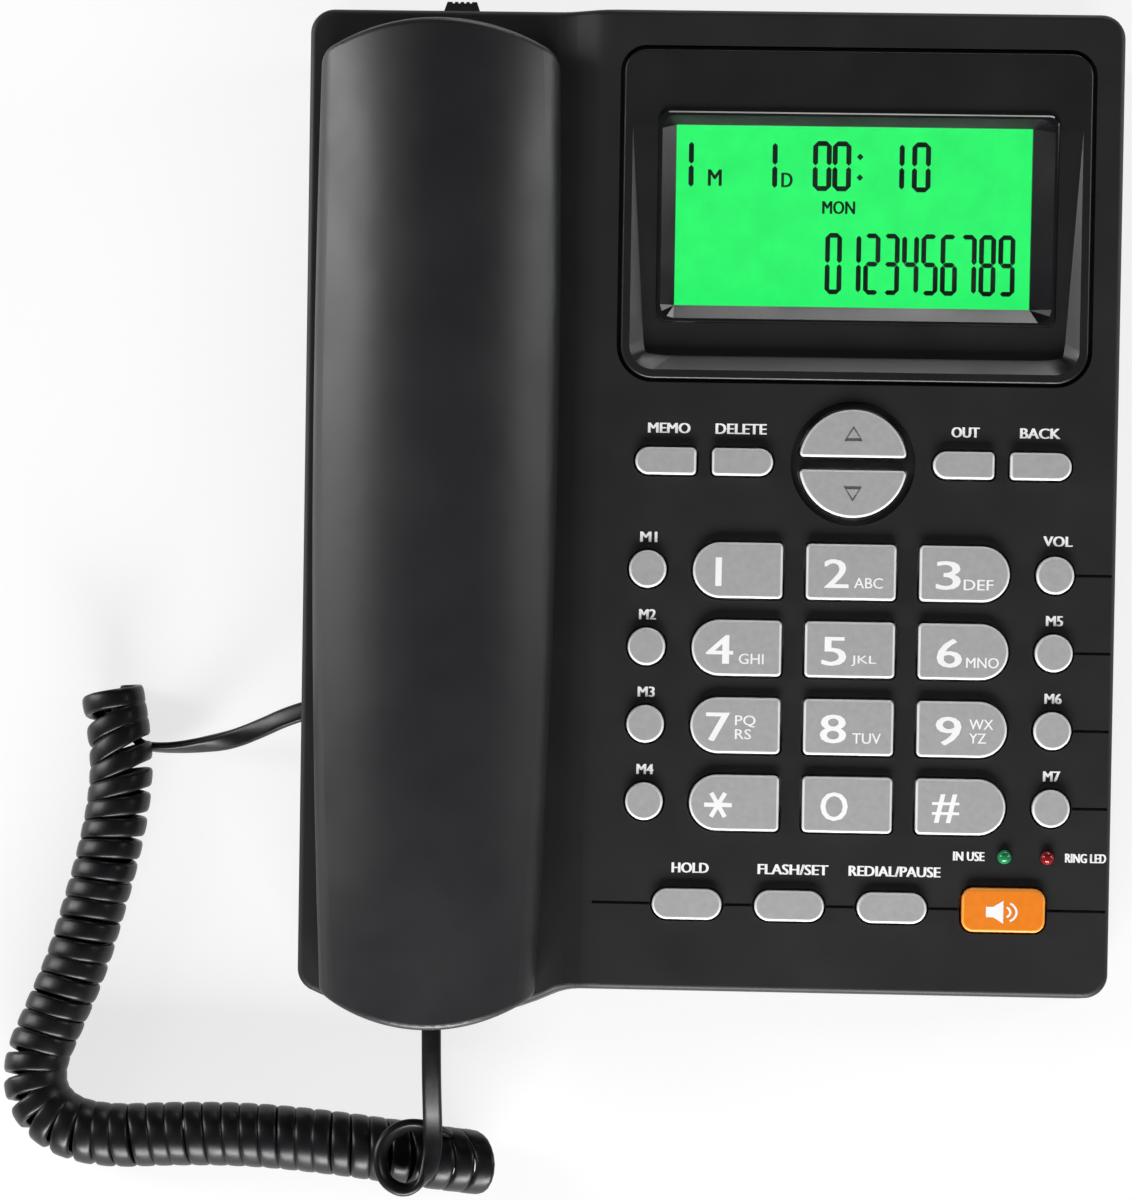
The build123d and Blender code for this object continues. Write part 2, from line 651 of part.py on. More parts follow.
# ---- cord --------------------------------------------------------------------------------------
def tube(route, diameter, name):
    """A tube on straight runs joined by arcs as large as the runs allow."""
    points = [Vector(*p) for p in route]
    runs = [b - a for a, b in zip(points, points[1:])]
    radii = []
    for before, after in zip(runs, runs[1:]):
        half_turn = math.radians(before.get_angle(after)) / 2
        radii.append(0.45 * min(before.length, after.length) / math.tan(half_turn))
    path = FilletPolyline(*points, radius=radii)
    body = sweep(Plane(path @ 0, z_dir=path % 0) * Circle(diameter / 2), path=path)
    share = body.volume / (math.pi * diameter**2 / 4 * path.length)
    rounded = [round(r, 1) for r in radii]
    print(name, "length", round(path.length, 1), "volume", round(share, 3), "radii", rounded)
    return body


os.makedirs("parts", exist_ok=True)
write(upper_casing(), "upper_casing")
write(lower_casing(), "lower_casing")
write(base_screws(), "base_screws")
write(rubber_feet(), "rubber_feet")
write(ballast_plate(), "ballast_plate")
write(display_bezel(), "display_bezel")
write(display_window(), "display_window")
write(lcd_glass(), "lcd_glass")
write(backlight_panel(), "backlight_panel")
for node in keys:
    write(key(node), node)
write(key_mat(), "key_mat")
write(main_board(), "main_board")
for node in led_spots:
    write(led(node), node)
write(hook_plunger(), "hook_plunger")
write(hook_switch(), "hook_switch")
write(handset_jack(), "handset_jack")
write(line_jack(), "line_jack")
write(plug_base(), "plug_base")
write(ringer_knob(), "ringer_knob")
write(ringer_switch(), "ringer_switch")
write(loudspeaker(), "loudspeaker")
write(hands_free_microphone(), "hands_free_microphone")
write(handset_back_shell(), "handset_back_shell")
write(handset_front_shell(), "handset_front_shell")
write(handset_receiver(), "handset_receiver")
write(handset_microphone(), "handset_microphone")
write(plug_handset(), "plug_handset")
write(tube(base_tail_route, cord_width, "cord_tail_base"), "cord_tail_base")
write(tube(coil_route, coil_diameter, "cord_curl"), "cord_curl")
write(tube(handset_tail_route, cord_width, "cord_tail_handset"), "cord_tail_handset")
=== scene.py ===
import json
import math

import bmesh
import bpy
from mathutils import Matrix, Quaternion, Vector

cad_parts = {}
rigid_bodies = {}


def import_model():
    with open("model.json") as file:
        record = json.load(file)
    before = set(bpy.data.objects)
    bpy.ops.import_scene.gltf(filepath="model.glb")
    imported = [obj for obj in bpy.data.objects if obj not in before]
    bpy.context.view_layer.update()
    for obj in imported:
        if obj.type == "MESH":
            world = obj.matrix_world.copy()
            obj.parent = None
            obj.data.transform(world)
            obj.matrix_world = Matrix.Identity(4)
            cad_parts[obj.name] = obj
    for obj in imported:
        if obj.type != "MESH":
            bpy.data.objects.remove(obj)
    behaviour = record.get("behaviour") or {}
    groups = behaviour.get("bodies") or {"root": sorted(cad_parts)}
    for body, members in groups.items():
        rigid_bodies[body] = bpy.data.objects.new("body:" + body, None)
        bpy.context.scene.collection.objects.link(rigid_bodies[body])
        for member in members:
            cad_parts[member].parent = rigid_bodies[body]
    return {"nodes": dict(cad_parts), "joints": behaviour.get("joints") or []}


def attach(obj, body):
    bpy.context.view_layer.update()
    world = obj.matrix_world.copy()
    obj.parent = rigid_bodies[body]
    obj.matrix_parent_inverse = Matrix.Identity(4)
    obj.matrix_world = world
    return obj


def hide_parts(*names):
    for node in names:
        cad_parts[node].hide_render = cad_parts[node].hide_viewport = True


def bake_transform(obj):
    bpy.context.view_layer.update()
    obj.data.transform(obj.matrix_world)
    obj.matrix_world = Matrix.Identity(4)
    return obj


for left_over in list(bpy.data.objects):
    bpy.data.objects.remove(left_over)
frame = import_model()
bpy.context.view_layer.update()
mm = 0.001

# ---- Console casings ----------------------------------------------------------------------------
# Upper and lower casing are charcoal ABS with a fine matte grain, joined at a parting line low on
# the walls. The hook plunger and the ringer's slide knob are moulded in the same plastic.
noise_span = (0.3, 0.7)       # a noise value seldom leaves this range, so it is stretched from here


def new_material(name):
    material = bpy.data.materials.new(name)
    material.use_nodes = True
    return material, material.node_tree, material.node_tree.nodes["Principled BSDF"]


def noise(tree, scale, detail=3.0, stretch=(1, 1, 1)):
    """A noise value over the object's own coordinates, scale in features per metre."""
    place = tree.nodes.new("ShaderNodeTexCoord")
    mapping = tree.nodes.new("ShaderNodeMapping")
    mapping.inputs["Scale"].default_value = stretch
    texture = tree.nodes.new("ShaderNodeTexNoise")
    texture.inputs["Scale"].default_value = scale
    texture.inputs["Detail"].default_value = detail
    tree.links.new(place.outputs["Object"], mapping.inputs["Vector"])
    tree.links.new(mapping.outputs["Vector"], texture.inputs["Vector"])
    return texture.outputs["Fac"]


def between(tree, value, low, high):
    """That noise value, stretched over low to high."""
    spread = tree.nodes.new("ShaderNodeMapRange")
    for socket, number in zip(("From Min", "From Max", "To Min", "To Max"), (*noise_span, low, high)):
        spread.inputs[socket].default_value = number
    tree.links.new(value, spread.inputs["Value"])
    return spread.outputs["Result"]


def shades(tree, value, dark, light):
    """A colour from dark to light as the value rises."""
    ramp = tree.nodes.new("ShaderNodeValToRGB")
    for element, colour, place in zip(ramp.color_ramp.elements, (dark, light), noise_span):
        element.color = (*colour, 1)
        element.position = place
    tree.links.new(value, ramp.inputs["Fac"])
    return ramp.outputs["Color"]


def grain_bump(tree, shader, value, depth):
    bump = tree.nodes.new("ShaderNodeBump")
    bump.inputs["Distance"].default_value = depth
    bump.inputs["Strength"].default_value = 1.0
    tree.links.new(value, bump.inputs["Height"])
    tree.links.new(bump.outputs["Normal"], shader.inputs["Normal"])


def moulded(name, colour, roughness, grain=0.45 * mm, depth=0.012 * mm, mottle=0.10, gloss=0.5):
    """Moulded plastic: one colour right through, the mould's fine grain and a slightly uneven gloss."""
    polish = 0.04
    material, tree, shader = new_material(name)
    dark = [c * (1 - mottle) for c in colour]
    light = [c * (1 + mottle) for c in colour]
    tree.links.new(shades(tree, noise(tree, 90, 4), dark, light), shader.inputs["Base Color"])
    uneven = between(tree, noise(tree, 60, 5), roughness - polish, roughness + polish)
    tree.links.new(uneven, shader.inputs["Roughness"])
    shader.inputs["Specular IOR Level"].default_value = gloss
    grain_bump(tree, shader, noise(tree, 1 / grain, 2), depth)
    return material


def finish_node(node, material):
    """Gives a CAD node one finish all over."""
    piece = frame["nodes"][node]
    piece.data.materials.clear()
    piece.data.materials.append(material)


charcoal = moulded("charcoal_casing", (0.0115, 0.0115, 0.0122), 0.50, gloss=0.34)
for node in ("upper_casing", "lower_casing", "hook_plunger", "ringer_knob"):
    finish_node(node, charcoal)

# ---- Handset shells -----------------------------------------------------------------------------
# The handset is two shells of the same plastic, but from a smoother mould, so it has a softer
# sheen than the deck and hardly any grain.
handset_plastic = moulded("handset_plastic", (0.0120, 0.0118, 0.0134), 0.40,
                          grain=0.3 * mm, depth=0.004 * mm, mottle=0.06)
for node in ("handset_back_shell", "handset_front_shell"):
    finish_node(node, handset_plastic)

# ---- Display surround ---------------------------------------------------------------------------
# A separate moulding let into the deck. Its panel sinks towards the user between polished side
# walls, so it is a shade glossier than the casing round it.
surround = moulded("display_surround", (0.0105, 0.0105, 0.0112), 0.36, grain=0.5 * mm, depth=0.006 * mm)
finish_node("display_bezel", surround)

# ---- Display window -----------------------------------------------------------------------------
# A gloss black frame, moulded with mitred bevels that run down to a clear acrylic pane. The rounded
# mouth meets the sharp corners of the view in three small facets, which catch the light.
view_half = (37.1 * mm, 18.8 * mm)
window_half = (41.6 * mm, 21.9 * mm)
window_off = (0.8 * mm, -0.3 * mm)       # from the middle of the view to the middle of the window
window_back, window_seat, window_face = 0.2 * mm, 1.9 * mm, 4.3 * mm
four_corners = ((1, 1), (-1, 1), (-1, -1), (1, -1))

# The deck slopes down to the user, and the handset lifts straight off it, so the lift joint gives
# the deck's normal. across runs to the user's right.
joints = {joint["name"]: joint for joint in frame["joints"]}
normal = Vector(joints["handset_lift"]["axis"]).normalized()
across = Vector((1, 0, 0))


def face_place(node):
    """A placement in the middle of a node's largest upward face: x across, z out of the face."""
    same_level = 0.02 * mm
    mesh = frame["nodes"][node].data
    face = max((f for f in mesh.polygons if f.normal.dot(normal) > 0.9), key=lambda f: f.area)
    out = face.normal.copy()
    rise = out.cross(across).normalized()
    level = mesh.vertices[face.vertices[0]].co.dot(out)
    flat = [v.co for v in mesh.vertices if abs(v.co.dot(out) - level) < same_level]
    reach = [[p.dot(way) for p in flat] for way in (across, rise)]
    middle = [(min(run) + max(run)) / 2 for run in reach]
    axes = Matrix((across, rise, out)).transposed().to_4x4()
    return Matrix.Translation(across * middle[0] + rise * middle[1] + out * level) @ axes


def frame_ring(mesh, place, half, radius, height, middle=(0, 0), steps=6):
    """Points round a rectangle in four corner groups; a sharp corner is a group of one."""
    groups = []
    for quarter, (side_u, side_v) in enumerate(four_corners):
        centre_u = middle[0] + side_u * (half[0] - radius)
        centre_v = middle[1] + side_v * (half[1] - radius)
        centre = Vector((centre_u, centre_v, height))
        turns = [math.pi / 2 * (quarter + i / steps) for i in range(steps + 1)] if radius else [0]
        spots = [centre + Vector((math.cos(turn), math.sin(turn), 0)) * radius for turn in turns]
        groups.append([mesh.verts.new(place @ spot) for spot in spots])
    return groups


def frame_skin(mesh, inner, outer):
    """Faces between two rings, fanned round each corner."""
    for g in range(4):
        one, two = inner[g], outer[g]
        for i in range(max(len(one), len(two)) - 1):
            picks = [one[min(i, len(one) - 1)], one[min(i + 1, len(one) - 1)],
                     two[min(i + 1, len(two) - 1)], two[min(i, len(two) - 1)]]
            mesh.faces.new(list(dict.fromkeys(picks)))
        after = (g + 1) % 4
        mesh.faces.new((one[-1], inner[after][0], outer[after][0], two[-1]))


def window_frame(place):
    """The frame: back, outer wall, softened edge, flat lip with its mouth, bevels and inner wall."""
    mesh = bmesh.new()
    lip, edge = 0.8 * mm, 0.3 * mm
    mouth = (window_half[0] - lip, window_half[1] - lip)
    top = (window_half[0] - edge, window_half[1] - edge)
    rings = [
        frame_ring(mesh, place, window_half, 2.0 * mm, window_back, window_off),
        frame_ring(mesh, place, window_half, 2.0 * mm, window_face - edge, window_off),
        frame_ring(mesh, place, top, 1.8 * mm, window_face, window_off),
        frame_ring(mesh, place, mouth, 2.8 * mm, window_face, window_off, steps=3),
        frame_ring(mesh, place, view_half, 0, window_seat),
        frame_ring(mesh, place, view_half, 0, window_back),
    ]
    for i in (0, 1, 3, 4):
        frame_skin(mesh, rings[i], rings[i + 1])
    frame_skin(mesh, rings[5], rings[0])
    for g in range(4):
        after = (g + 1) % 4
        mesh.faces.new((*rings[2][g], *rings[3][g][::-1]))
        mesh.faces.new((rings[2][g][-1], rings[2][after][0], rings[3][after][0], rings[3][g][-1]))
    return as_piece("window_frame", mesh, smooth=False)


def as_piece(name, mesh, smooth=True):
    """Turns a bmesh into an object of that name."""
    bmesh.ops.recalc_face_normals(mesh, faces=mesh.faces)
    for face in mesh.faces:
        face.smooth = smooth
    data = bpy.data.meshes.new(name)
    mesh.to_mesh(data)
    mesh.free()
    piece = bpy.data.objects.new(name, data)
    bpy.context.scene.collection.objects.link(piece)
    return piece


def prism(mesh, place, outline, low, high):
    """A flat solid of that outline between two heights over a placement."""
    floor = [mesh.verts.new(place @ Vector((u, v, low))) for u, v in outline]
    roof = [mesh.verts.new(place @ Vector((u, v, high))) for u, v in outline]
    mesh.faces.new(roof)
    mesh.faces.new(floor[::-1])
    for i in range(len(outline)):
        j = (i + 1) % len(outline)
        mesh.faces.new((floor[i], floor[j], roof[j], roof[i]))


def clear_resin(name, tint, clearness, roughness, index):
    """Clear or tinted resin with a trace of haze in it."""
    material, tree, shader = new_material(name)
    haze = [c * 0.93 for c in tint]
    tree.links.new(shades(tree, noise(tree, 150, 3), haze, tint), shader.inputs["Base Color"])
    bloom = between(tree, noise(tree, 80, 4), roughness, roughness + 0.05)
    tree.links.new(bloom, shader.inputs["Roughness"])
    shader.inputs["Transmission Weight"].default_value = clearness
    shader.inputs["IOR"].default_value = index
    return material


display_place = face_place("lcd_glass")
window = window_frame(display_place)
gloss_black = moulded("gloss_black", (0.008, 0.008, 0.009), 0.16, grain=2 * mm, depth=0.002 * mm, gloss=0.4)
window.data.materials.append(gloss_black)
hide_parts("display_window")
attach(window, "base")

pane_mesh = bmesh.new()
pane_gap, pane_low, pane_high = 0.05 * mm, 0.35 * mm, 1.25 * mm
pane_half = (view_half[0] - pane_gap, view_half[1] - pane_gap)
pane_outline = [(side_u * pane_half[0], side_v * pane_half[1]) for side_u, side_v in four_corners]
prism(pane_mesh, display_place, pane_outline, pane_low, pane_high)
pane = as_piece("window_pane", pane_mesh, smooth=False)
pane.data.materials.append(clear_resin("clear_acrylic", (1.0, 1.0, 1.0), 1.0, 0.0, 1.30))
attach(pane, "base")

# ---- Lit display --------------------------------------------------------------------------------
# A reflective green liquid-crystal glass, lit evenly from the light guide behind it. The dark
# characters are seven-segment bars and a few fixed words, all a hair above the glass.
ink_low, ink_high = 0.03 * mm, 0.09 * mm
strike_step = 0.004 * mm      # a second strike lies this much higher, so no two faces coincide
bars_of = {
    "0": "abcdef", "1": "bc", "2": "abged", "3": "abgcd", "4": "fgbc",
    "5": "afgcd", "6": "afgedc", "7": "abc", "8": "abcdefg", "9": "abcdfg",
}


def shifted(place, u, v, lift=0.0):
    """That placement moved across, up the slope and out of its face, in millimetres."""
    return place @ Matrix.Translation(Vector((u, v, lift)) * mm)


def lit_green():
    material, tree, shader = new_material("lit_green_glass")
    glow = shades(tree, noise(tree, 25, 2), (0.0235, 0.955, 0.158), (0.0245, 0.970, 0.162))
    tree.links.new(glow, shader.inputs["Emission Color"])
    shader.inputs["Emission Strength"].default_value = 1.0
    shader.inputs["Base Color"].default_value = (0.01, 0.03, 0.015, 1)
    shader.inputs["Roughness"].default_value = 0.35
    return material


def bar(mesh, place, start, end, stroke):
    """One bar of a digit, pointed at both ends."""
    start, end = Vector(start), Vector(end)
    way = (end - start).normalized() * stroke / 2
    side = Vector((-way.y, way.x))
    outline = [start, start + way - side, end - way - side, end, end - way + side, start + way + side]
    prism(mesh, place, [tuple(p) for p in outline], ink_low, ink_high)


def digit(mesh, place, figure, width, height, stroke):
    """A seven-segment figure centred on a placement."""
    right, top, gap = (width - stroke) / 2, (height - stroke) / 2, 0.12 * mm
    runs = {
        "a": ((-right, top), (right, top)),
        "b": ((right, top), (right, gap)),
        "c": ((right, -top), (right, -gap)),
        "d": ((-right, -top), (right, -top)),
        "e": ((-right, -top), (-right, -gap)),
        "f": ((-right, top), (-right, gap)),
        "g": ((-right, 0), (right, 0)),
    }
    for name in bars_of[figure]:
        bar(mesh, place, *runs[name], stroke)


def lettering(mesh, place, text, width, height, bold, depth=0.02 * mm):
    """Printed letters of that width and height, centred on a placement and struck twice to be bold."""
    curve = bpy.data.curves.new("letters", "FONT")
    curve.body = text
    curve.resolution_u = 3
    curve.extrude = 0.5
    curve.space_line = 0.95
    holder = bpy.data.objects.new("letters", curve)
    bpy.context.scene.collection.objects.link(holder)
    letters = bpy.data.meshes.new_from_object(holder)
    bpy.data.objects.remove(holder)
    reach = [[vertex.co[i] for vertex in letters.vertices] for i in (0, 1)]
    (left, right), (bottom, top) = [(min(run), max(run)) for run in reach]
    centred = Matrix.Translation((-(left + right) / 2, -(bottom + top) / 2, 0.5))
    fitted = Matrix.Diagonal(((width - bold) / (right - left), height / (top - bottom), depth, 1))
    letters.transform(fitted @ centred)
    letters.transform(place @ Matrix.Translation((-bold / 2, 0, 0)))
    mesh.from_mesh(letters)
    letters.transform(place @ Matrix.Translation((bold, 0, strike_step)) @ place.inverted())
    mesh.from_mesh(letters)
    bpy.data.meshes.remove(letters)


def display_ink():
    """The month, day and time in the upper row, the weekday under them and a number in the lower row."""
    mesh = bmesh.new()
    for figure, u in (("1", -35.4), ("1", -17.9), ("0", -6.6), ("0", -2.5), ("1", 8.6), ("0", 14.1)):
        digit(mesh, shifted(display_place, u, 10.6), figure, 3.9 * mm, 10.4 * mm, 1.05 * mm)
    for v in (8.3, 12.6):
        bar(mesh, display_place, (1.3 * mm, (v - 0.7) * mm), (1.3 * mm, (v + 0.7) * mm), 1.3 * mm)
    for i, figure in enumerate("0123456789"):
        digit(mesh, shifted(display_place, -3.9 + 4.02 * i, -9.7), figure, 3.5 * mm, 12.8 * mm, 1.0 * mm)
    words = (("M", -29.0, 7.9, 2.9, 3.4), ("D", -13.9, 7.6, 2.4, 3.0), ("MON", -3.0, 2.0, 6.9, 2.7))
    for word, u, v, width, height in words:
        place = shifted(display_place, u, v, 0.03)
        lettering(mesh, place, word, width * mm, height * mm, 0.22 * mm, ink_high - ink_low)
    return as_piece("display_ink", mesh, smooth=False)


finish_node("lcd_glass", lit_green())
ink = display_ink()
green_black = moulded("display_ink", (0.004, 0.012, 0.006), 0.5, grain=1 * mm, depth=0.001 * mm)
ink.data.materials.append(green_black)
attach(ink, "base")
milky_acrylic = moulded("milky_acrylic", (0.75, 0.80, 0.74), 0.25, depth=0.001 * mm, mottle=0.03)
finish_node("backlight_panel", milky_acrylic)

# ---- Grey keys ----------------------------------------------------------------------------------
# Every key but one is a frosted grey acrylic cap. Its rounded rim is painted paler than its flat
# top, a painted highlight for the light that catches the rounded edge.
def frosted(name, face, painted_rim_highlight, roughness):
    """Frosted acrylic with a painted highlight: paler colour painted round its edges than on its top."""
    # The rim mask: where the surface leans away from the deck's normal, the painted highlight colour takes
    # over.
    painted_rim_span = (0.92, 0.999)      # how squarely a spot faces up, from the rounded edge to the top
    material, tree, shader = new_material(name)
    geometry = tree.nodes.new("ShaderNodeNewGeometry")
    facing = tree.nodes.new("ShaderNodeVectorMath")
    facing.operation = "DOT_PRODUCT"
    facing.inputs[1].default_value = normal
    tree.links.new(geometry.outputs["Normal"], facing.inputs[0])
    spread = tree.nodes.new("ShaderNodeMapRange")
    for socket, number in zip(("From Min", "From Max"), painted_rim_span):
        spread.inputs[socket].default_value = number
    tree.links.new(facing.outputs["Value"], spread.inputs["Value"])
    flecks = shades(tree, noise(tree, 700, 4), [c * 0.94 for c in face], [c * 1.05 for c in face])
    mix = tree.nodes.new("ShaderNodeMix")
    mix.data_type = "RGBA"
    painted_rim_colour, top_colour, mixed_colour = mix.inputs[6], mix.inputs[7], mix.outputs[2]
    painted_rim_colour.default_value = (*painted_rim_highlight, 1)
    tree.links.new(spread.outputs["Result"], mix.inputs["Factor"])
    tree.links.new(flecks, top_colour)
    tree.links.new(mixed_colour, shader.inputs["Base Color"])
    worn = between(tree, noise(tree, 120, 4), roughness - 0.05, roughness + 0.05)
    tree.links.new(worn, shader.inputs["Roughness"])
    shader.inputs["Specular IOR Level"].default_value = 0.4
    grain_bump(tree, shader, noise(tree, 2600, 2), 0.004 * mm)
    return material


# The paler second colour is the painted highlight on each key's rounded rim.
grey_acrylic = frosted("frosted_grey", (0.325, 0.325, 0.325), (0.70, 0.70, 0.70), 0.42)
not_grey = ("key_speaker", "key_mat")
for node in frame["nodes"]:
    if node.startswith("key_") and node not in not_grey:
        finish_node(node, grey_acrylic)

# ---- Printed legends ----------------------------------------------------------------------------
# White pad printing. Figures and letters sit on the dial keys, and the names of the other keys are
# printed on the deck above them. Each print rides with what it is printed on.
white_print = moulded("white_print", (0.80, 0.80, 0.80), 0.45,
                      grain=0.4 * mm, depth=0.003 * mm, mottle=0.04)
print_lift = 0.01
print_depth = 0.02 * mm
key_rise = 1.6                # a key's top above the deck
figure_v, figure_height = -0.3, 6.0
name_height, lamp_name_height = 2.15 * mm, 1.9 * mm

# For each dial key: its figure, where that stands across the key and how wide it is, then its letters
# with the same two numbers.
dial_print = {
    "key_1": ("I", -4.0, 1.3, "", 0, 0), "key_2": ("2", -3.1, 5.2, "ABC", 3.6, 6.0),
    "key_3": ("3", -3.4, 5.2, "DEF", 2.9, 6.2), "key_4": ("4", -3.5, 5.7, "GHI", 3.1, 5.2),
    "key_5": ("5", -3.3, 5.2, "JKL", 2.9, 5.3), "key_6": ("6", -2.9, 5.3, "MNO", 4.0, 6.8),
    "key_7": ("7", -3.6, 5.0, "PQ\nRS", 2.1, 4.3), "key_8": ("8", -3.2, 5.5, "TUV", 3.8, 6.0),
    "key_9": ("9", -2.8, 5.4, "WX\nYZ", 4.0, 5.0), "key_0": ("O", -2.7, 5.7, "", 0, 0),
    "key_hash": ("#", -3.1, 5.7, "", 0, 0),
}

# For each key with its name on the deck: the name, how far across and above the key it stands, and its
# width. For each lamp's name: how far across from the hands-free key, and its width.
deck_print = {
    "key_memo": ("MEMO", 0.6, 6.9, 8.9), "key_delete": ("DELETE", -0.4, 6.9, 10.7),
    "key_out": ("OUT", 0.3, 6.9, 5.9), "key_back": ("BACK", -0.2, 6.9, 8.4),
    "key_volume": ("VOL", 0.5, 7.1, 6.1), "key_hold": ("HOLD", 0.6, 7.6, 7.8),
    "key_flash": ("FLASH/SET", 0.7, 7.6, 14.8), "key_redial": ("REDIAL/PAUSE", 0.5, 7.6, 19.2),
}
lamp_print = {"IN USE": (-7.3, 6.6), "RING LED": (17.0, 8.6)}


def printed(name, mesh, body):
    """Finishes a print and lets it ride with its body."""
    piece = as_piece(name, mesh, smooth=False)
    piece.data.materials.append(white_print)
    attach(piece, body)


for node, (figure, u, width, letters, letters_u, letters_width) in dial_print.items():
    legend = bmesh.new()
    top = face_place(node)
    figure_place = shifted(top, u, figure_v, print_lift)
    lettering(legend, figure_place, figure, width * mm, figure_height * mm, 0.30 * mm)
    if letters:
        tall = 5.0 if "\n" in letters else 2.2
        base_v = figure_v if "\n" in letters else figure_v - (figure_height - tall) / 2
        letters_place = shifted(top, letters_u, base_v, print_lift)
        lettering(legend, letters_place, letters, letters_width * mm, tall * mm, 0.06 * mm)
    printed(f"legend_{node}", legend, node)

star = bmesh.new()
star_place = shifted(face_place("key_star"), -3.3, -0.4, print_lift)
arm, half_stroke = 2.9 * mm, 0.45 * mm
star_arm = [(side_u * arm, side_v * half_stroke) for side_u, side_v in four_corners]
for i in range(3):
    spin = Matrix.Rotation(i * math.pi / 3, 4, "Z")
    prism(star, star_place @ spin, star_arm, 0, print_depth + i * strike_step)
printed("legend_key_star", star, "key_star")

names = bmesh.new()
for node, (text, u, v, width) in deck_print.items():
    place = shifted(face_place(node), u, v, print_lift - key_rise)
    lettering(names, place, text, width * mm, name_height, 0.26 * mm)
for i in range(1, 8):
    place = shifted(face_place(f"key_m{i}"), 0.1, 6.7, print_lift - key_rise)
    lettering(names, place, f"M{i}", 3.6 * mm, name_height, 0.26 * mm)
for text, (u, width) in lamp_print.items():
    place = shifted(face_place("key_speaker"), u, 11.1, print_lift - key_rise)
    lettering(names, place, text, width * mm, lamp_name_height, 0.22 * mm)
printed("deck_print", names, "base")


def arrow_outline(place, point_up):
    """A thin triangle outline, as printed on a half of the rocker."""
    mesh = bmesh.new()
    sizes = ((1.9, 1.6), (1.35, 1.0))
    rings = []
    for half, reach in sizes:
        spots = [(-half, -point_up * reach), (half, -point_up * reach), (0, point_up * reach)]
        rings.append([mesh.verts.new(place @ (Vector((u, v, 0)) * mm)) for u, v in spots])
    for i in range(3):
        j = (i + 1) % 3
        mesh.faces.new((rings[0][i], rings[0][j], rings[1][j], rings[1][i]))
    bmesh.ops.solidify(mesh, geom=mesh.faces[:], thickness=print_depth)
    return mesh


faint_print = moulded("faint_print", (0.16, 0.16, 0.16), 0.45, depth=0.003 * mm, mottle=0.04)
for node, point_up in (("key_up", 1), ("key_down", -1)):
    outline = arrow_outline(shifted(face_place(node), 0, 0, 0.03), point_up)
    arrow = as_piece(f"legend_{node}", outline, smooth=False)
    arrow.data.materials.append(faint_print)
    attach(arrow, node)

# ---- Hands-free key -----------------------------------------------------------------------------
# The same frosted cap in orange, with a loudspeaker symbol printed in white: a box, a cone and
# two sound waves.
# The paler second orange is the painted highlight on the cap's rounded rim.
orange_acrylic = frosted("frosted_orange", (0.72, 0.190, 0.010), (0.90, 0.34, 0.05), 0.42)
finish_node("key_speaker", orange_acrylic)
symbol = bmesh.new()
symbol_place = shifted(face_place("key_speaker"), -0.6, -0.3, print_lift)
cone_outline = [(-3.0, -1.1), (-1.5, -1.1), (0.6, -2.4), (0.6, 2.4), (-1.5, 1.1), (-3.0, 1.1)]
prism(symbol, symbol_place, [(u * mm, v * mm) for u, v in cone_outline], 0, print_depth)
wave_turns = [-1.0 + 0.25 * i for i in range(9)]
wave_stroke, wave_squash = 0.5, 0.75
for radius in (1.9, 3.2):
    outer, inner = [
        [(reach * math.cos(t) * mm, reach * math.sin(t) * wave_squash * mm) for t in wave_turns]
        for reach in (radius, radius - wave_stroke)
    ]
    prism(symbol, shifted(symbol_place, 0.4, 0), outer + inner[::-1], 0, print_depth)
printed("legend_key_speaker", symbol, "key_speaker")

# ---- Indicator lamps ----------------------------------------------------------------------------
# Two 3 mm resin lamps, tinted green and red. Neither is lit, so they look dark and deep.
finish_node("led_in_use", clear_resin("green_lamp", (0.02, 0.30, 0.10), 0.35, 0.10, 1.5))
finish_node("led_ring", clear_resin("red_lamp", (0.30, 0.010, 0.015), 0.35, 0.10, 1.5))

# ---- Sockets, switches and plugs ----------------------------------------------------------------
# The sockets and switches are black nylon. The plugs are clear polycarbonate, crimped on the cord.
nylon = moulded("black_nylon", (0.010, 0.010, 0.010), 0.40, grain=0.6 * mm)
for node in ("handset_jack", "line_jack", "hook_switch", "ringer_switch"):
    finish_node(node, nylon)
polycarbonate = clear_resin("clear_polycarbonate", (0.90, 0.91, 0.92), 0.85, 0.06, 1.58)
for node in ("plug_base", "plug_handset"):
    finish_node(node, polycarbonate)

# ---- Working parts under the deck ---------------------------------------------------------------
# The silicone key mat, the lacquered circuit board, the loudspeaker and capsules, the steel
# ballast, the zinc-plated screws and the rubber feet.
def metal(name, colour, roughness, stretch=(1, 1, 1)):
    """Bare or plated metal with drawn or rolled marks along one direction."""
    material, tree, shader = new_material(name)
    shader.inputs["Metallic"].default_value = 1.0
    drawn = shades(tree, noise(tree, 400, 5, stretch), [c * 0.8 for c in colour], colour)
    tree.links.new(drawn, shader.inputs["Base Color"])
    marks = between(tree, noise(tree, 900, 4, stretch), roughness - 0.08, roughness + 0.08)
    tree.links.new(marks, shader.inputs["Roughness"])
    grain_bump(tree, shader, noise(tree, 1500, 3, stretch), 0.006 * mm)
    return material


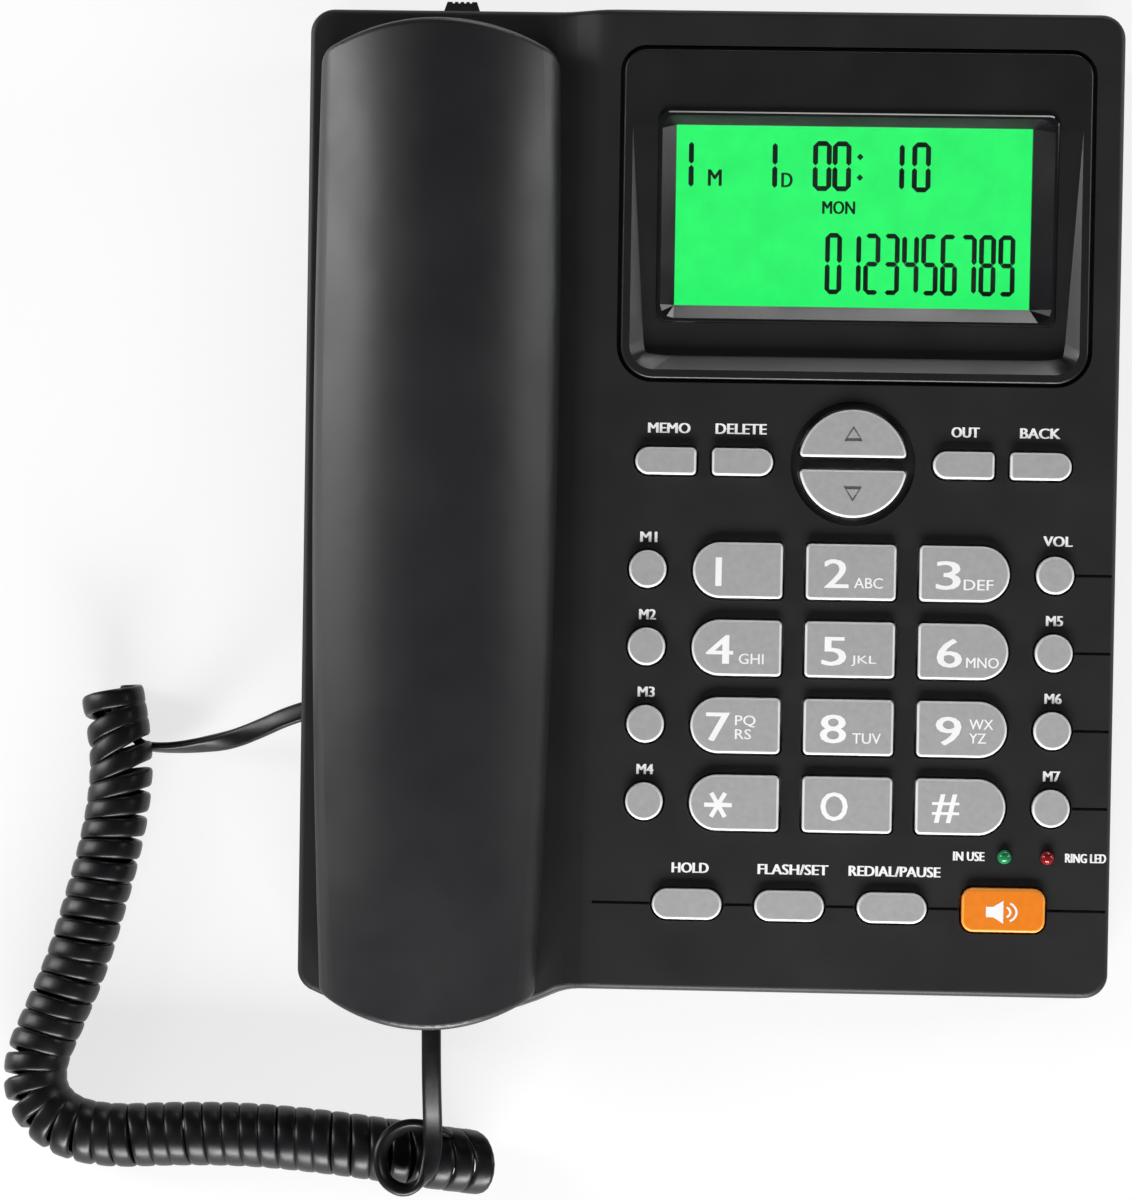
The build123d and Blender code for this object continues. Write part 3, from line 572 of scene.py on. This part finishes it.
silicone = moulded("grey_silicone", (0.28, 0.29, 0.30), 0.70, grain=0.8 * mm)
lacquer = moulded("green_lacquer", (0.015, 0.10, 0.035), 0.30, grain=1.2 * mm, depth=0.03 * mm, mottle=0.35)
rubber = moulded("foot_rubber", (0.012, 0.012, 0.012), 0.80, grain=0.5 * mm, depth=0.03 * mm)
zinc_plate = metal("zinc_plate", (0.62, 0.61, 0.58), 0.30)
rolled_steel = metal("rolled_steel", (0.32, 0.31, 0.30), 0.45, (1, 12, 1))
plated_steel = metal("plated_steel", (0.48, 0.48, 0.47), 0.35, (4, 1, 1))
satin_aluminium = metal("satin_aluminium", (0.76, 0.76, 0.77), 0.38)
working_parts = {
    "key_mat": silicone, "main_board": lacquer, "rubber_feet": rubber,
    "base_screws": zinc_plate, "ballast_plate": rolled_steel,
    "loudspeaker": plated_steel, "handset_receiver": plated_steel,
    "hands_free_microphone": satin_aluminium, "handset_microphone": satin_aluminium,
}
for node, material in working_parts.items():
    finish_node(node, material)

# ---- Curly cord ---------------------------------------------------------------------------------
# A flat four-core cord in black PVC. It leaves the console's left wall, tucks into the coil's core,
# winds round in one long right-handed coil that lies on the table, and ends in one loose turn that
# rises into the plug at the handset's end. The coil was wound hot, so it keeps its shape.
cord_width = 4.1 * mm
cord_thickness = 2.0 * mm
coil_radius = 5.8 * mm
coil_turns = 44.53
first_angle = math.radians(-10)    # the coil starts at its right side and ends at its front side
steps_per_turn = 24
coil_slack = 0.08                  # the turns by the console lie this much further apart
lean_start, lean_full, lean_turns, lean_over = -0.2, 0.6, 8, 2.6
nod_full, nod_turns = 0.75, 8      # the last turns tip over towards the handset's end
slow_sway, quick_sway = 0.22 * mm, 0.14 * mm
flare = 0.45                       # the loose turn opens upwards like a cup
ahead = 2.5 * mm                   # the strand runs straight on this far at both ends of the coil
base_tail_route = [
    (-84.6, -40.05, 15.6), (-89.0, -41.3, 14.4), (-95.2, -43.9, 10.6), (-101.8, -46.2, 6.4),
    (-109.2, -47.4, 3.8), (-115.8, -48.0, 2.6), (-121.8, -47.7, 2.6),
]
coil_route = [
    (-127.9, -36.8, 6.95), (-125.5, -47.8, 6.95), (-125.6, -59.0, 6.95), (-127.6, -71.0, 6.95),
    (-130.6, -83.0, 6.95), (-133.8, -95.0, 6.95), (-138.6, -106.8, 6.95), (-142.4, -116.2, 6.95),
    (-141.4, -124.2, 6.95), (-135.4, -129.6, 6.95), (-126.0, -131.5, 6.95), (-112.0, -130.6, 6.95),
    (-96.0, -130.4, 6.95), (-80.0, -131.6, 6.95), (-66.0, -133.2, 6.95), (-55.0, -134.6, 6.95),
    (-48.2, -135.2, 6.95),
]
handset_tail_route = [
    (-56.1, -106.0, 25.6), (-56.0, -113.6, 24.6), (-55.9, -121.6, 21.4), (-55.8, -128.0, 17.6),
]
core_route = [
    (-124.8, -44.2, 3.8), (-127.8, -41.4, 4.6), (-128.8, -38.6, 4.2), (-127.2, -36.6, 2.8),
    (-124.7, -36.4, 2.0),
]
back_through_core_route = [
    (-49.4, -139.0, 2.0), (-50.4, -135.0, 1.7), (-51.4, -131.7, 4.0), (-52.4, -130.2, 7.9),
]
loose_turn_route = [
    (-54.0, -129.2, 11.6), (-57.6, -127.6, 14.2), (-62.6, -127.6, 15.8), (-66.3, -130.9, 16.1),
    (-67.2, -135.6, 16.1), (-65.5, -139.8, 16.1), (-61.3, -141.6, 16.1), (-57.2, -139.0, 16.2),
    (-55.7, -133.4, 16.6),
]


def smooth_line(route, pieces=12):
    """Points along the smooth curve that a route of millimetre points controls."""
    curve = bpy.data.curves.new("route", "CURVE")
    curve.dimensions = "3D"
    curve.resolution_u = pieces
    spline = curve.splines.new("NURBS")
    spline.points.add(len(route) - 1)
    for point, place in zip(spline.points, route):
        point.co = (*(Vector(place) * mm), 1)
    spline.order_u = 3
    spline.use_endpoint_u = True
    holder = bpy.data.objects.new("route", curve)
    bpy.context.scene.collection.objects.link(holder)
    mesh = bpy.data.meshes.new_from_object(holder)
    line = [vertex.co.copy() for vertex in mesh.vertices]
    bpy.data.objects.remove(holder)
    return line


def along(line, count):
    """That many points and directions, evenly spaced along a line."""
    lengths = [0.0]
    for before, after in zip(line, line[1:]):
        lengths.append(lengths[-1] + (after - before).length)
    found, i = [], 0
    for k in range(count):
        wanted = lengths[-1] * k / (count - 1)
        while i < len(line) - 2 and lengths[i + 1] < wanted:
            i += 1
        share = (wanted - lengths[i]) / max(lengths[i + 1] - lengths[i], 1e-9)
        found.append(line[i].lerp(line[i + 1], share))
    ways = [(found[min(k + 1, count - 1)] - found[max(k - 1, 0)]).normalized() for k in range(count)]
    return found, ways


def ease(share):
    """0 to 1 with a soft start and end."""
    share = max(0.0, min(1.0, share))
    return share * share * (3 - 2 * share)


def wound_coil():
    """Centre line of the coil, each point with the cord's width direction."""
    count = round(coil_turns * steps_per_turn) + 1
    fine = 8
    centres, ways = along(smooth_line(coil_route), (count - 1) * fine + 1)
    rows = []
    for k in range(count):
        progress = k / (count - 1)
        slackened = progress + coil_slack * ((1 - (1 - progress) ** 3) - progress)
        spot = round(slackened * (len(centres) - 1))
        centre, way = centres[spot], ways[spot]
        started = progress * coil_turns
        turn = 2 * math.pi * started + first_angle
        side = Vector((0, 0, 1)).cross(way).normalized()
        lean = lean_start + (lean_full - lean_start) * ease(started / lean_over)
        lean *= max(0.0, 1 - started / lean_turns) ** 1.3
        nod = nod_full * ease(1 - (coil_turns - started) / nod_turns)
        sway = slow_sway * math.sin(started * 1.7) + quick_sway * math.sin(started * 4.1 + 1)
        out = side * math.cos(turn) + Vector((0, 0, math.sin(turn)))
        shear = way * ((sway + nod * coil_radius) * math.sin(turn) - lean * math.cos(turn) * coil_radius)
        rows.append((centre + out * coil_radius + shear, -way))
    return rows


def beyond(first, second, reach):
    """A route point that lies straight ahead of a row, so that the line joins it without a kink."""
    return tuple((second + (second - first).normalized() * reach) / mm)


def cord_rows():
    """Every point of the cord's centre line, from the console to the handset, with its width direction."""
    coil = wound_coil()
    level, upright = Vector((0.25, 1, 0)).normalized(), Vector((0, 0, 1))
    lead_in = beyond(coil[1][0], coil[0][0], ahead)
    tail = smooth_line(base_tail_route + core_route + [lead_in, tuple(coil[0][0] / mm)])
    rows = []
    for k, point in enumerate(tail[:-1]):
        share = k / len(tail)
        width = level.lerp(upright, ease(share / 0.5)).lerp(across, ease((share - 0.58) / 0.14))
        rows.append((point, width.lerp(coil[0][1], ease((share - 0.74) / 0.16))))
    rows += coil
    start = [tuple(coil[-1][0] / mm), beyond(coil[-2][0], coil[-1][0], ahead)]
    loop = smooth_line(start + back_through_core_route + loose_turn_route + handset_tail_route[::-1])
    for k, point in enumerate(loop[1:]):
        share = k / len(loop)
        outward = (loop[min(k + 2, len(loop) - 1)] - loop[k]).normalized().cross(upright)
        width = coil[-1][1].lerp(Vector((0, 1, 0)), ease((share - 0.13) / 0.08))
        width = width.lerp(-upright - flare * outward, ease((share - 0.22) / 0.10))
        rows.append((point, width.lerp(across, ease((share - 0.62) / 0.22))))
    return rows


def swept_flat(name, rows, width, thickness, corners=16):
    """A flat strip with rounded edges, swept along rows of points and width directions."""
    roundness = 0.62               # 1 gives an oval section, and less gives a squarer one
    mesh = bmesh.new()
    rings = []
    for k, (point, wide) in enumerate(rows):
        way = (rows[min(k + 1, len(rows) - 1)][0] - rows[max(k - 1, 0)][0]).normalized()
        wide = (wide - way * wide.dot(way)).normalized()
        thick = way.cross(wide)
        ring = []
        for i in range(corners):
            turn = 2 * math.pi * i / corners
            u = math.copysign(abs(math.cos(turn)) ** roundness, math.cos(turn)) * width / 2
            v = math.copysign(abs(math.sin(turn)) ** roundness, math.sin(turn)) * thickness / 2
            ring.append(mesh.verts.new(point + wide * u + thick * v))
        rings.append(ring)
    for one, two in zip(rings, rings[1:]):
        for i in range(corners):
            j = (i + 1) % corners
            mesh.faces.new((one[i], one[j], two[j], two[i]))
    mesh.faces.new(rings[0][::-1])
    mesh.faces.new(rings[-1])
    return as_piece(name, mesh)


def pvc():
    """Satin black PVC with a faint unevenness along the cord."""
    material, tree, shader = new_material("black_pvc")
    blacks = shades(tree, noise(tree, 220, 3), (0.004, 0.004, 0.005), (0.007, 0.007, 0.008))
    tree.links.new(blacks, shader.inputs["Base Color"])
    tree.links.new(between(tree, noise(tree, 300, 4), 0.30, 0.40), shader.inputs["Roughness"])
    shader.inputs["Specular IOR Level"].default_value = 0.32
    grain_bump(tree, shader, noise(tree, 1800, 2), 0.008 * mm)
    return material


rows = cord_rows()
cord = swept_flat("curly_cord", rows, cord_width, cord_thickness)
cord.data.materials.append(pvc())
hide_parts("cord_tail_base", "cord_curl", "cord_tail_handset")
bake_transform(cord)

# ---- Stage: table, light and camera -------------------------------------------------------------
# A white light table in a dim studio, lit from within. Low soft boxes stand on all four sides, so
# that the shells' shoulders and the bevels catch light and the flat deck stays dark.
def table_top():
    """The table: translucent white sheet over a lamp, so that shadows on it stay faint."""
    bpy.ops.mesh.primitive_plane_add(size=6, location=(0, 0, 0))
    top = bpy.context.active_object
    top.name = "table_top"
    material, tree, shader = new_material("pale_table")
    white = shades(tree, noise(tree, 3), (0.19, 0.19, 0.19), (0.21, 0.21, 0.21))
    tree.links.new(white, shader.inputs["Base Color"])
    shader.inputs["Emission Color"].default_value = (1, 1, 1, 1)
    shader.inputs["Emission Strength"].default_value = 0.76
    shader.inputs["Roughness"].default_value = 0.7
    top.data.materials.append(material)


def soft_box(name, place, aim, size, power):
    light = bpy.data.lights.new(name, "AREA")
    light.shape = "RECTANGLE"
    light.size, light.size_y = size
    light.energy = power
    holder = bpy.data.objects.new(name, light)
    holder.location = place
    holder.rotation_mode = "QUATERNION"
    holder.rotation_quaternion = (Vector(aim) - Vector(place)).to_track_quat("-Z", "Y")
    bpy.context.scene.collection.objects.link(holder)


def sky(strength):
    world = bpy.data.worlds.new("studio")
    world.use_nodes = True
    background = world.node_tree.nodes["Background"]
    background.inputs["Color"].default_value = (1, 1, 1, 1)
    background.inputs["Strength"].default_value = strength
    bpy.context.scene.world = world


def camera():
    data = bpy.data.cameras.new("camera")
    data.lens = 129.44
    data.sensor_width = 36
    data.clip_start, data.clip_end = 0.05, 20
    holder = bpy.data.objects.new("camera", data)
    place = Vector((4.6, -102.65, 931.8)) * mm
    aim = Vector((-29.3, -17.55, 36.5)) * mm
    roll = math.radians(-20.64)
    holder.location = place
    holder.rotation_mode = "QUATERNION"
    holder.rotation_quaternion = (aim - place).to_track_quat("-Z", "Y") @ Quaternion((0, 0, 1), roll)
    bpy.context.scene.collection.objects.link(holder)
    bpy.context.scene.camera = holder


table_top()
sky(0.03)
telephone = (0, 0, 0.03)
soft_box("left_low_box", (-1.25, 0.25, 0.42), telephone, (0.4, 1.0), 12.4)
soft_box("left_high_box", (-1.0, 0.25, 1.0), telephone, (0.6, 1.0), 1.5)
soft_box("right_low_box", (1.25, 0.25, 0.42), telephone, (0.4, 1.0), 6.6)
soft_box("front_low_box", (0.0, -1.3, 0.45), telephone, (1.2, 0.4), 40)
soft_box("rear_low_box", (0.35, 1.3, 0.32), telephone, (0.8, 0.22), 6.0)
camera()
bpy.context.scene.view_settings.view_transform = "Standard"
